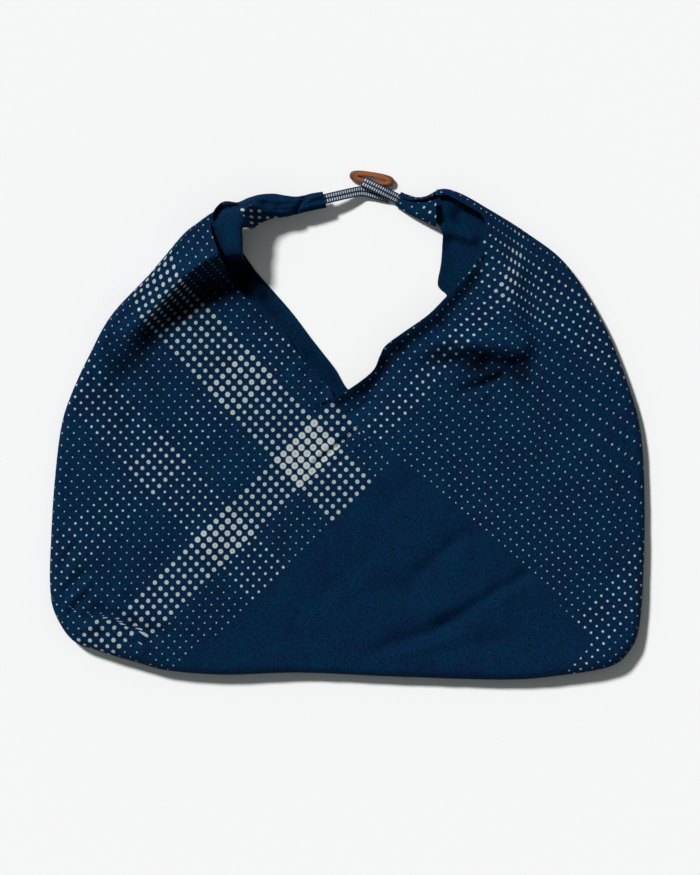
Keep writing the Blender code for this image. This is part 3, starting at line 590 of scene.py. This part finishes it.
def finished(name, points, faces, thickness, materials, threads, hem=None, slots=None):
    """A sheet of cloth as a closed object: its middle surface in millimetres, made thick.

    hem gives how near each point is to a hem and where it is along it. slots gives each face's
    finish. Without it the last of the materials is the sheet's other face.
    """
    mesh = bpy.data.meshes.new(name)
    mesh.from_pydata((np.asarray(points) * 0.001).tolist(), [], faces)
    for material in materials:
        mesh.materials.append(material)
    corners = np.empty(len(mesh.loops), int)
    mesh.loops.foreach_get("vertex_index", corners)
    layer = mesh.uv_layers.new(name="threads")
    layer.uv.foreach_set("vector", (np.asarray(threads)[corners] * 0.001).ravel())
    if slots is not None:
        mesh.polygons.foreach_set("material_index", slots)
    if hem is not None:
        near = mesh.attributes.new("hem", "FLOAT_VECTOR", "POINT")
        near.data.foreach_set("vector", np.column_stack((hem, np.zeros(len(hem)))).ravel())
    # Painted shade: how much each point's colour is darkened deep in the folds.
    deep = mesh.attributes.new("deep", "FLOAT", "POINT")
    painted_shade = folded(np.asarray(points)[:, :2], PAINTED_FOLD_SHADE)
    deep.data.foreach_set("value", np.minimum(painted_shade, DEEPEST_PAINTED_SHADE))
    made = bpy.data.objects.new(name, mesh)
    bpy.context.scene.collection.objects.link(made)
    bpy.context.view_layer.objects.active = made
    solid = made.modifiers.new("Thickness", "SOLIDIFY")
    solid.thickness = thickness * 0.001
    solid.offset = 0
    solid.material_offset = len(materials) - 1 if slots is None else 0
    bpy.ops.object.modifier_apply(modifier=solid.name)
    bpy.ops.object.select_all(action="DESELECT")
    made.select_set(True)
    bpy.ops.object.shade_smooth_by_angle(angle=math.radians(SMOOTH_BELOW))
    return made


def along_threads(points):
    """Place of flat cloth points along the two thread directions."""
    x, y = np.asarray(points)[:, :2].T
    return np.column_stack((x - y, -x - y)) / math.sqrt(2)


def stands_for(piece, node):
    """Hides the solid the piece stands for, and makes the piece ride on the bag."""
    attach(piece, "root")
    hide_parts(node)


def declare_cloth(piece, node):
    """Hides the solid the panel stands for, and makes the panel ride on the bag."""
    stands_for(piece, node)


def left_threads(plan):
    """The left panel's threads, which climb the arm's steep side and lean beyond its crest."""
    threads = along_threads(plan)
    arm = Beside(plan, ARM_LINE)
    beyond = np.maximum(-arm.distance, 0)
    lean = arm_ends(arm) * eased(arm.along, 0, ARM_LEAN_FROM)
    threads[:, 1] += ARM_LEAN * beyond**2 / (beyond + ARM_LEAN_SOFT) * lean
    threads[:, 1] -= ROW_LEAN * (threads[:, 0] - LAP_AT)
    threads[:, 0] -= arm_cloth(arm)
    threads[:, 0] += LAP * (threads[:, 0] > LAP_AT)
    pleat = Beside(plan, through(CORNER_PLEAT, TUCK_STEP))
    below = eased(-pleat.distance, *PLEAT_WIDE)
    threads[:, 0] += PLEAT_TAKEN * below * (1 - eased(plan[:, 0], *PLEAT_END))
    return threads


def near_hem(plan, line):
    """How near points are to a hem (0 when out of reach) and how far along it they are."""
    beside = Beside(plan, through(line, HEM_STEP))
    return np.column_stack((np.maximum(HEM_SEEN - np.abs(beside.distance), 0), beside.along))


def right_threads(plan):
    """The right panel's threads, which lean away from the end of the long seam."""
    threads = along_threads(plan)
    away = threads - RIGHT_TURN_AT
    angle = math.radians(RIGHT_TURN) * eased(np.hypot(*away.T), *RIGHT_TURN_WHOLE)
    cos, sin = np.cos(angle), np.sin(angle)
    u = away[:, 0] * cos - away[:, 1] * sin + RIGHT_TURN_AT[0]
    v = away[:, 0] * sin + away[:, 1] * cos + RIGHT_TURN_AT[1]
    above = HORN_FROM - v
    taken = HORN_TAKEN / 2 * (above + np.sqrt(above**2 + HORN_SOFT**2))
    tuck = Beside(plan, through(HORN_TUCK, TUCK_STEP))
    beside = eased(above, *HORN_WHOLE)
    v += HORN_SLANT * (u - HORN_MIDDLE) * beside
    u += taken * eased(tuck.distance, -HORN_HALF, HORN_HALF) - HORN_SHIFT * beside
    return np.column_stack((u, v))


def front_piece(name, node, materials, edges, lie=along_threads, hem=None):
    """One panel of the front layer, cut along its edges, with its threads lying as lie says."""
    loop = np.vstack(edges)
    cloth, faces = filled(loop, CELL)
    points, opened = draped(cloth)
    bumps = sum(height * ripples(points, size, seed) for size, seed, height in UNEVEN)
    points[:, 2] += bumps * np.clip(points[:, 2] / UNEVEN_AT, 0, 1)
    edge = None if hem is None else near_hem(points[:, :2], hem)
    piece = finished(name, points, faces, CLOTH, materials, lie(opened), edge)
    declare_cloth(piece, node)


def cut_along(rows):
    """A hem or a seam on the flat cloth."""
    return to_cloth(through(rows, EDGE_STEP))


def over_fold(rows):
    """A seam that ends at the outer fold, carried on over the fold to the end of its lip."""
    return np.vstack((cut_along(rows)[:-1], towards_lip(rows[-1])))


def make_front(left_dots, right_dots, plain):
    """The front layer's four panels, each cut along the hems and seams that go round it."""
    middle, long = cut_along(MIDDLE_SEAM)[:-1], cut_along(LONG_SEAM)[:-1]
    left, wedge, corner = map(over_fold, (LEFT_SEAM, WEDGE_SEAM, CORNER_SEAM))
    front_piece(
        "front_left_cloth", "front_left_panel", (left_dots, plain),
        (cut_along(LEFT_HEM)[:-1], middle, left, lip_run(LEFT_SEAM[-1], OUTER_FOLD[0]),
         towards_lip(OUTER_FOLD[0])[::-1]), left_threads, LEFT_HEM,
    )  # fmt: skip
    front_piece(
        "front_right_cloth", "front_right_panel", (right_dots, plain),
        (cut_along(RIGHT_HEM)[::-1][:-1], middle, long, corner,
         lip_run(CORNER_SEAM[-1], OUTER_FOLD[-1]), towards_lip(OUTER_FOLD[-1])[::-1]),
        right_threads, RIGHT_HEM,
    )  # fmt: skip
    front_piece(
        "lower_cloth", "lower_panel", (plain, plain),
        (long, wedge, lip_run(WEDGE_SEAM[-1], LEFT_SEAM[-1]), left[::-1][:-1]),
    )  # fmt: skip
    front_piece(
        "corner_cloth", "corner_panel", (right_dots, plain),
        (corner[:-1], lip_run(CORNER_SEAM[-1], WEDGE_SEAM[-1]), wedge[::-1][:-1]), right_threads,
    )  # fmt: skip


def make_back(plain):
    """The back layer: flat on the floor, inside the lips of the front's outer fold."""
    fold = Fold(FOLD_LINE[fold_place(BACK_LEFT_TOP[0]) + 2 : fold_place(BACK_MOUTH[-1]) - 1])
    rim = fold.at(fold.radius * (1 + LIP) + BACK_CLEAR)
    mouth = np.vstack((through(BACK_LEFT_TOP, EDGE_STEP)[:-1], through(BACK_MOUTH, EDGE_STEP)))
    loop = np.vstack((rim, mouth[::-1, :2]))
    verts, faces = filled(loop, BACK_CELL)
    z = np.full(len(verts), CLOTH / 2)
    for x, y, height, reach in BACK_RISE:
        z = np.maximum(z, CLOTH / 2 + height * hill(verts, x, y, reach))
    beside = Beside(verts, mouth)
    edge = np.interp(beside.along, np.arange(len(mouth)), mouth[:, 2])
    share = np.exp(-((beside.distance / MOUTH_EASE) ** 2))
    z = np.maximum(z, CLOTH / 2 + share * (edge - CLOTH / 2))
    z = np.maximum(z + folded(verts, BACK_CREASES), CLOTH / 2)
    points = np.column_stack((verts, z))
    edge = near_hem(verts, BACK_MOUTH)
    piece = finished("back_cloth", points, faces, CLOTH, (plain,), along_threads(verts), edge)
    declare_cloth(piece, "back_panel")


def beside_strap(points):
    """Threads of the left sleeve, whose strap rises to its turn and then runs to the right."""
    x, y = points[:, 0], points[:, 1]
    return np.column_stack((x + np.minimum(y, STRAP_TURN), SLEEVE_STEEP * y))


def sleeve(name, node, rows, across, gathers, materials, folds=(), under=()):
    """A sheet wrapped round the sections that the rows give, with gathers and folds.

    across is how many points go round the wrap. under gives how wide the last of the materials is
    at the end of the wrap, by place in x.
    """
    stations = through(rows, SLEEVE_STEP)
    run = run_along(stations[:, :2])
    x, y, crown, left, right, half, start, end, heading, shape = stations.T[:, :, None]
    angle = np.radians(np.linspace(start[:, 0], end[:, 0], across, axis=1))
    count, first_depth, last_depth, power = gathers
    along = np.linspace(0, 1, len(stations))[:, None]
    depth = first_depth + (last_depth - first_depth) * along**power
    gather = count * angle + GATHER_UNEVEN * np.sin(3 * angle) + GATHER_TWIST * run[:, None]
    swell = 1 + depth * np.sin(gather)
    cos, sin = np.cos(angle), np.sin(angle)
    sides = np.where(cos > 0, right, left)
    slope = np.where(cos > 0, 2 / shape, 1)
    cos, sin = (np.copysign(np.abs(part) ** slope, part) for part in (cos, sin))
    reach, turn = sides * cos * swell, np.radians(heading)
    z = crown - half + half * sin * swell
    points = np.stack((x + reach * np.sin(turn), y - reach * np.cos(turn), z), axis=2)
    wraps = np.array([run_along(row) for row in points])
    points = points.reshape(-1, 3)
    points[:, 2] += folded(points[:, :2], folds)
    slots = None
    if under:
        lie = beside_strap(points)
        turned = stations[:-1, 8] < UNDER_HEADING
        wide = np.where(turned, np.interp(stations[:-1, 0], *zip(*under)), 0)
        slots = (wraps[:-1, -1:] - wraps[:-1, :-1] < wide[:, None]).astype(int).ravel()
    else:
        lie = along_threads(np.column_stack((np.repeat(run, across), wraps.ravel())))
    faces = grid(len(stations), across)
    piece = finished(name, points, faces, CLOTH, materials, lie, slots=slots)
    stands_for(piece, node)


def make_sleeves(dots, under_dots, plain):
    sleeve(
        "left_sleeve_cloth", "left_sleeve", LEFT_SLEEVE, ROUND_LEFT, LEFT_GATHERS,
        (plain, under_dots), LEFT_SLEEVE_FOLDS, DOTTED_UNDER,
    )  # fmt: skip
    sleeve(
        "right_sleeve_cloth", "right_sleeve", RIGHT_SLEEVE, ROUND_RIGHT,
        RIGHT_GATHERS, (dots, plain),
    )  # fmt: skip


def ribbon(name, node, centres, headings, width, material):
    """A tape along its centres, with its width level and square to each heading in degrees."""
    run, turn = run_along(centres), np.radians(headings)
    reach = np.linspace(-width / 2, width / 2, ACROSS_TAPE)
    sideways = np.column_stack((-np.sin(turn), np.cos(turn), 0 * turn))
    points = (centres[:, None] + reach[:, None] * sideways[:, None]).reshape(-1, 3)
    threads = np.column_stack((np.tile(reach, len(run)), np.repeat(run, ACROSS_TAPE)))
    faces = grid(len(centres), ACROSS_TAPE)
    piece = finished(name, points, faces, TAPE, (material,), threads)
    stands_for(piece, node)


def make_tapes(woven):
    path = through(LEFT_TAPE, TAPE_STEP)
    ribbon("left_tape_band", "left_tape", path[:, :3], path[:, 3], TAPE_WIDTH, woven)
    run, z = through(RIGHT_TAPE, TAPE_STEP).T
    turn = math.radians(RIGHT_TAPE_HEADING)
    x, y = RIGHT_TAPE_FOOT
    centres = np.column_stack((x + run * math.cos(turn), y + run * math.sin(turn), z))
    headings = np.full(len(run), RIGHT_TAPE_HEADING)
    ribbon("right_tape_band", "right_tape", centres, headings, TAPE_WIDTH, woven)


# ---------------------------------------------------------------- finishes


class Finish:
    """A material whose nodes are added and wired one at a time."""

    def __init__(self, name):
        self.material = bpy.data.materials.new(name)
        self.material.use_nodes = True
        self.tree = self.material.node_tree
        self.shader = self.tree.nodes["Principled BSDF"]

    def add(self, kind, *inputs, out=0, **settings):
        node = self.tree.nodes.new("ShaderNode" + kind)
        for key, value in settings.items():
            setattr(node, key, value)
        for socket, value in zip(node.inputs, inputs):
            self.put(socket, value)
        return node.outputs[out]

    def put(self, socket, value):
        if isinstance(socket, str):
            socket = self.shader.inputs[socket]
        if isinstance(value, bpy.types.NodeSocket):
            self.tree.links.new(value, socket)
        elif value is not None:
            socket.default_value = value

    def calc(self, operation, a, b=None, c=None):
        return self.add("Math", a, b, c, operation=operation)

    times = partialmethod(calc, "MULTIPLY")
    plus = partialmethod(calc, "ADD")
    minus = partialmethod(calc, "SUBTRACT")
    times_plus = partialmethod(calc, "MULTIPLY_ADD")

    def mix(self, share, a, b):
        node = self.tree.nodes.new("ShaderNodeMix")
        node.data_type = "RGBA"
        for socket, value in zip((node.inputs[0], node.inputs[6], node.inputs[7]), (share, a, b)):
            self.put(socket, value)
        return node.outputs[2]

    def swing(self, base, noise, strength, middle=0.5):
        """The base, raised and lowered as the noise goes above and below its middle."""
        return self.times_plus(noise, strength, self.plus(base, -strength * middle))

    def up_to_one(self, value, slope, offset):
        """The value times the slope plus the offset, kept between 0 and 1."""
        return self.add("Clamp", self.times_plus(value, slope, offset))

    def within(self, away, half, sharp):
        """1 where away is less than half, 0 where it is more, with an edge as sharp as given."""
        return self.up_to_one(away, -sharp, 0.5 + sharp * half)

    def scaled(self, colour, by):
        return self.add("VectorMath", colour, None, None, by, operation="SCALE")

    def noise(self, place, scale, detail=2.0):
        return self.add("TexNoise", place, None, scale, detail)


def threads_of(finish):
    """The place on the cloth, and the same along its columns and rows, in millimetres."""
    place = finish.scaled(finish.add("UVMap", uv_map="threads"), 1000.0)
    return (place, *split(finish, place))


def split(finish, vector):
    """The first two parts of a vector."""
    node = finish.tree.nodes.new("ShaderNodeSeparateXYZ")
    finish.put(node.inputs[0], vector)
    return node.outputs[0], node.outputs[1]


def stretched(finish, place, x, y):
    mapping = finish.tree.nodes.new("ShaderNodeMapping")
    finish.put(mapping.inputs["Vector"], place)
    mapping.inputs["Scale"].default_value = (x, y, 1)
    return mapping.outputs[0]


def wave(finish, place, step):
    """A sine that repeats once in each step."""
    return finish.calc("SINE", finish.times(place, 2 * math.pi / step))


def weave(finish, place, u, v):
    """Bump of a plain weave with slubs, and the slubs' own shade."""
    crossing = finish.times(wave(finish, u, WARP_STEP), wave(finish, v, WEFT_STEP))
    along = (SLUBS_ALONG_WARP, SLUBS_ALONG_WEFT)
    slubs = [finish.noise(stretched(finish, place, *size), 1.0, 3.0) for size in along]
    slubs = finish.plus(*slubs)
    height = finish.times(slubs, SLUB_BUMP)
    height = finish.times_plus(crossing, CROSSING_BUMP, height)
    finish.put("Normal", finish.add("Bump", 0.5, WEAVE_DEPTH, None, height))
    return slubs


def hem_shade(finish, shade):
    """The shade, paler at a hem's edge and darker at its stitches."""
    nearness, run = split(finish, finish.add("Attribute", attribute_name="hem", out=1))
    pale_edge = finish.up_to_one(nearness, 1 / PALE_EDGE_WIDTH, 1 - HEM_SEEN / PALE_EDGE_WIDTH)
    inwards = finish.calc("ABSOLUTE", finish.minus(nearness, HEM_SEEN - STITCH_IN))
    dashes = finish.up_to_one(wave(finish, run, STITCH_STEP), 2.0, 0.9)
    stitches = finish.times(finish.within(inwards, STITCH_HALF, STITCH_SHARP), dashes)
    shade = finish.times_plus(pale_edge, PALE_EDGE_SHADE, shade)
    return finish.times_plus(stitches, STITCH_SHADE, shade)


def indigo(finish, place, slubs):
    """The dyed ground: teal and navy patches, a fine grain, and slubs along the threads."""
    teal = TEAL_SHARE
    for scale, strength in (PATCHES, BLOTCHES):
        teal = finish.swing(teal, finish.noise(place, scale, 3.0), strength)
    hue = finish.mix(finish.add("Clamp", teal), (*DEEP_INDIGO, 1), (*INDIGO, 1))
    shade = finish.swing(1.0, slubs, SLUB_SHADE, middle=1.0)
    for (scale, strength), detail in ((SPECKS, 3.0), (GRAIN, 2.0)):
        shade = finish.swing(shade, finish.noise(place, scale, detail), strength)
    shade = hem_shade(finish, shade)
    return finish.scaled(hue, finish.calc("MAXIMUM", shade, DARKEST))


def with_painted_fold_shade(finish, colour):
    """The colour with painted shade, darker deep in the folds."""
    deep = finish.add("Attribute", attribute_name="deep", out=2)
    return finish.scaled(colour, finish.minus(1.0, deep))


def matt(name):
    finish = Finish(name)
    finish.put("Roughness", 0.95)
    finish.put("Specular IOR Level", 0.04)
    return finish


def plain_cloth(name):
    finish = matt(name)
    place, u, v = threads_of(finish)
    slubs = weave(finish, place, u, v)
    # The base colour carries painted shade deep in the folds.
    finish.put("Base Color", with_painted_fold_shade(finish, indigo(finish, place, slubs)))
    return finish.material


def lattice(finish, along, pitch, bands, width):
    """Along one thread direction: each dot's number, the place beside it, its width and its band."""
    middle, count, _ = bands[0]
    first = middle / pitch if count % 2 else middle / pitch - 0.5
    step = finish.minus(finish.calc("DIVIDE", along, pitch), first)
    cell = finish.calc("ROUND", step)
    beside = finish.times(finish.minus(step, cell), pitch)
    in_band = 0.0
    for middle, count, gain in bands:
        at = round((middle / pitch - first) * 2) / 2
        if (count % 2 == 0) != (at % 1 == 0.5):
            at += 0.5
        belongs = finish.calc("COMPARE", cell, at, count / 2)
        width = finish.times_plus(belongs, gain, width)
        in_band = finish.calc("MAXIMUM", belongs, in_band)
    return cell, beside, width, in_band


def dotted_cloth(name, columns, rows):
    """Indigo cloth with the lattice of dots, wider in the given bands."""
    finish = matt(name)
    place, u, v = threads_of(finish)
    slubs = weave(finish, place, u, v)
    ground = indigo(finish, place, slubs)
    column, beside_u, width, in_column = lattice(finish, u, COLUMN_PITCH, columns, BASE_DOT)
    row, beside_v, width, in_row = lattice(finish, v, ROW_PITCH, rows, width)
    crossing = finish.times(in_column, in_row)
    width = finish.times_plus(crossing, CROSSING_DOT, width)
    number = finish.add("CombineXYZ", column, row)
    chance = finish.add("TexWhiteNoise", number, noise_dimensions="3D")
    width = finish.times(width, finish.swing(1.0, chance, DOT_UNEVEN))
    squares = [finish.calc("POWER", beside, 2.0) for beside in (beside_u, beside_v)]
    away = finish.calc("SQRT", finish.plus(*squares))
    away = finish.swing(away, finish.noise(place, 0.9, 2.0), DOT_RAGGED)
    inside_by = finish.minus(finish.times(width, 0.5), away)
    cover = finish.up_to_one(inside_by, DOT_EDGE, 0.5)
    speck = finish.within(away, SPECK_HALF, SPECK_SHARP)
    speck = finish.times(speck, finish.calc("GREATER_THAN", width, SPECKED_DOT))
    speck = finish.times(speck, SPECK_SHARE)
    white = finish.mix(speck, (*DOT_WHITE, 1), (*DOT_SPECK, 1))
    # The base colour carries painted shade deep in the folds.
    finish.put("Base Color", with_painted_fold_shade(finish, finish.mix(cover, ground, white)))
    return finish.material


def woven_tape():
    """Navy tape with two rows of white bars across it, like a ladder."""
    finish = matt("woven tape")
    place, u, v = threads_of(finish)
    uneven = finish.swing(v, finish.noise(place, 0.5, 2.0), 0.5)
    bars = finish.up_to_one(wave(finish, uneven, BAR_PITCH), 2.2, 0.9)
    sides = finish.calc("ABSOLUTE", finish.minus(finish.calc("ABSOLUTE", u), BAR_MIDDLE))
    white = finish.times(bars, finish.within(sides, BAR_HALF, BAR_SHARP))
    shade = finish.times_plus(wave(finish, u, TAPE_RIB), RIB_SHADE, 1 - RIB_SHADE)
    finish.put("Base Color", finish.mix(white, (*TAPE_NAVY, 1), finish.scaled(TAPE_WHITE, shade)))
    finish.put("Normal", finish.add("Bump", 0.8, BAR_DEPTH, None, white))
    return finish.material


def toggle_rim(finish, place):
    """1 at the toggle's dark rim, and 0 over most of it."""
    x, y = (finish.minus(*pair) for pair in zip(split(finish, place), TOGGLE_AT))
    turn = math.radians(TOGGLE_TURN)
    cos, sin = math.cos(turn), math.sin(turn)
    reach = []
    for (across, up), half in zip(((cos, sin), (-sin, cos)), TOGGLE_HALF):
        along = finish.times_plus(x, across / half, finish.times(y, up / half))
        reach.append(finish.calc("POWER", finish.calc("ABSOLUTE", along), RIM_POWER))
    return finish.up_to_one(finish.plus(*reach), 2.4, -0.9)


def toggle_wood():
    """Varnished orange-brown wood with its grain along the bar, dark pores and a dark rim."""
    finish = Finish("toggle wood")
    place = finish.add("TexCoord", out=3)
    grain = finish.noise(stretched(finish, place, *WOOD_GRAIN), 1.0, 4.0)
    pores = finish.noise(stretched(finish, place, *WOOD_PORES), 1.0, 2.0)
    pores = finish.up_to_one(pores, 4.0, -2.2)
    colour = finish.mix(grain, (*WOOD_DARK, 1), (*WOOD_LIGHT, 1))
    colour = finish.mix(finish.times(pores, 0.7), colour, (*WOOD_PORE, 1))
    rim = finish.times(toggle_rim(finish, place), 0.9)
    finish.put("Base Color", finish.mix(rim, colour, (*WOOD_RIM, 1)))
    finish.put("Roughness", 0.32)
    finish.put("Coat Weight", 0.4)
    finish.put("Coat Roughness", 0.2)
    finish.put("Normal", finish.add("Bump", 0.25, 0.0004, None, grain))
    return finish.material


def make_toggle():
    """The toggle's own solid has its true shape and gets only its finish."""
    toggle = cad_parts["toggle"]
    toggle.data.materials.clear()
    toggle.data.materials.append(toggle_wood())


# ---------------------------------------------------------------- the setting


def make_floor():
    bpy.ops.mesh.primitive_plane_add(size=8, location=(0, 0, -0.0002))
    floor = bpy.context.object
    floor.name = "floor"
    finish = Finish("pale paper")
    finish.put("Base Color", (*PAPER, 1))
    finish.put("Roughness", 0.9)
    finish.put("Specular IOR Level", 0.0)
    floor.data.materials.append(finish.material)


def make_light():
    sun = bpy.data.lights.new("window", "SUN")
    sun.energy = WINDOW_LIGHT
    sun.angle = math.radians(WINDOW_WIDTH)
    lamp = bpy.data.objects.new("window", sun)
    lamp.rotation_mode = "QUATERNION"
    lamp.rotation_quaternion = Vector((*LIGHT_LEAN, -1)).to_track_quat("-Z", "Y")
    bpy.context.scene.collection.objects.link(lamp)
    world = bpy.data.worlds.new("room")
    bpy.context.scene.world = world
    world.use_nodes = True
    background = world.node_tree.nodes["Background"]
    background.inputs["Color"].default_value = (*ROOM_COLOUR, 1)
    background.inputs["Strength"].default_value = ROOM_LIGHT


def make_camera():
    camera = bpy.data.cameras.new("above")
    camera.lens, camera.sensor_width = LENS, SENSOR
    camera.clip_end = 20
    eye = bpy.data.objects.new("above", camera)
    eye.location = (*VIEW_CENTRE, BAG_MIDDLE + VIEW_TALL * LENS / SENSOR)
    bpy.context.scene.collection.objects.link(eye)
    bpy.context.scene.camera = eye
    bpy.context.scene.view_settings.view_transform = "Standard"


make_camera()
left_dots = dotted_cloth("left dotted cloth", LEFT_COLUMNS, LEFT_ROWS)
right_dots = dotted_cloth("right dotted cloth", RIGHT_COLUMNS, RIGHT_ROWS)
under_dots = dotted_cloth("dots under the sleeve", UNDER_COLUMNS, UNDER_ROWS)
plain = plain_cloth("plain cloth")
make_front(left_dots, right_dots, plain)
make_back(plain)
make_sleeves(right_dots, under_dots, plain)
make_tapes(woven_tape())
make_toggle()
make_floor()
make_light()
